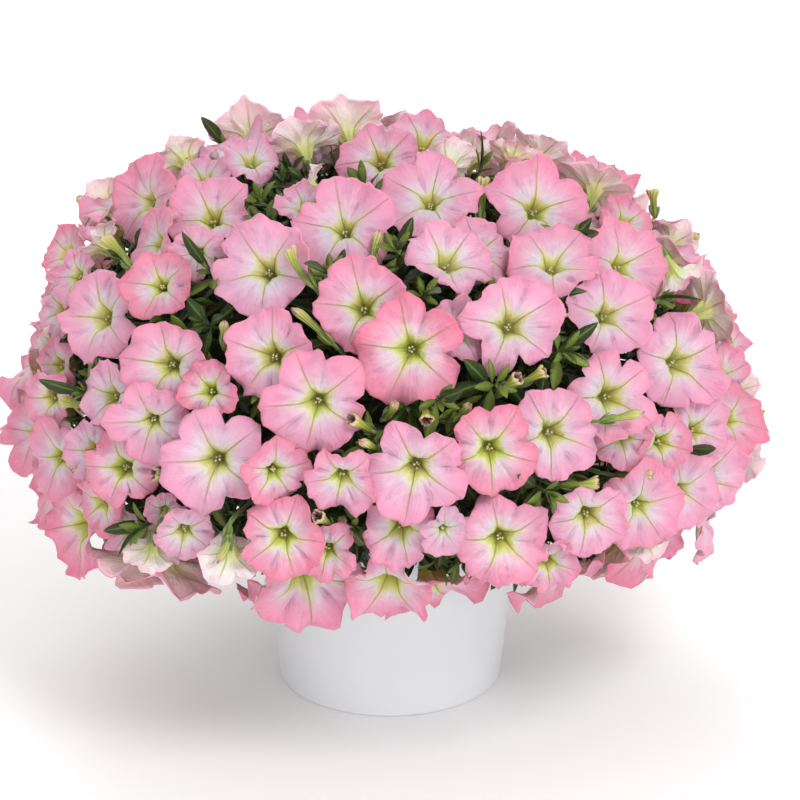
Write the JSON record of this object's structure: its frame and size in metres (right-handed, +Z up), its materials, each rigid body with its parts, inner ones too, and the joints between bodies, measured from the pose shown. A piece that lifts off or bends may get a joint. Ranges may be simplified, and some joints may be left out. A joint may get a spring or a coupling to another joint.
{
  "type": "potted petunia",
  "caption": "Mounded pink petunia with trumpet blooms, leafy shoots and buds, growing in soil in a plain tapered plant pot that stands on a flat base.",
  "frame": {"origin": "centre of the pot base, on the surface that the pot stands on", "axes": "+Z up along the pot axis, -Y towards the side that the picture shows, +X to its right"},
  "size_m": [0.5206, 0.5197, 0.4056],
  "materials": {
    "pot": "smooth satin",
    "soil": "crumbly damp potting soil",
    "foliage": "soft satin leaf, finely hairy",
    "petals": "soft matte petal with thin veins"
  },
  "bodies": {
    "root": {"bloom_spray_01": "petals", "bloom_spray_02": "petals", "bloom_spray_03": "petals", "bloom_spray_04": "petals", "bloom_spray_05": "petals", "bloom_spray_06": "petals", "bloom_spray_07": "petals", "bloom_spray_08": "petals", "bloom_spray_09": "petals", "bloom_spray_10": "petals", "bloom_spray_11": "petals", "bloom_spray_12": "petals", "bloom_spray_13": "petals", "bloom_spray_14": "petals", "bloom_spray_15": "petals", "bloom_spray_16": "petals", "bloom_spray_17": "petals", "bloom_spray_18": "petals", "bloom_spray_19": "petals", "bloom_spray_20": "petals", "bloom_spray_21": "petals", "bloom_spray_22": "petals", "bloom_spray_23": "petals", "bloom_spray_24": "petals", "bloom_spray_25": "petals", "bloom_spray_26": "petals", "bloom_spray_27": "petals", "bloom_spray_28": "petals", "bloom_spray_29": "petals", "bloom_spray_30": "petals", "bloom_spray_31": "petals", "bloom_spray_32": "petals", "bloom_spray_33": "petals", "bloom_spray_34": "petals", "bloom_spray_35": "petals", "bloom_spray_36": "petals", "bloom_spray_37": "petals", "bloom_spray_38": "petals", "bloom_spray_39": "petals", "bloom_spray_40": "petals", "bloom_spray_41": "petals", "leafy_bush": "foliage", "pot": "pot", "soil": "soil"}
  },
  "joints": []
}
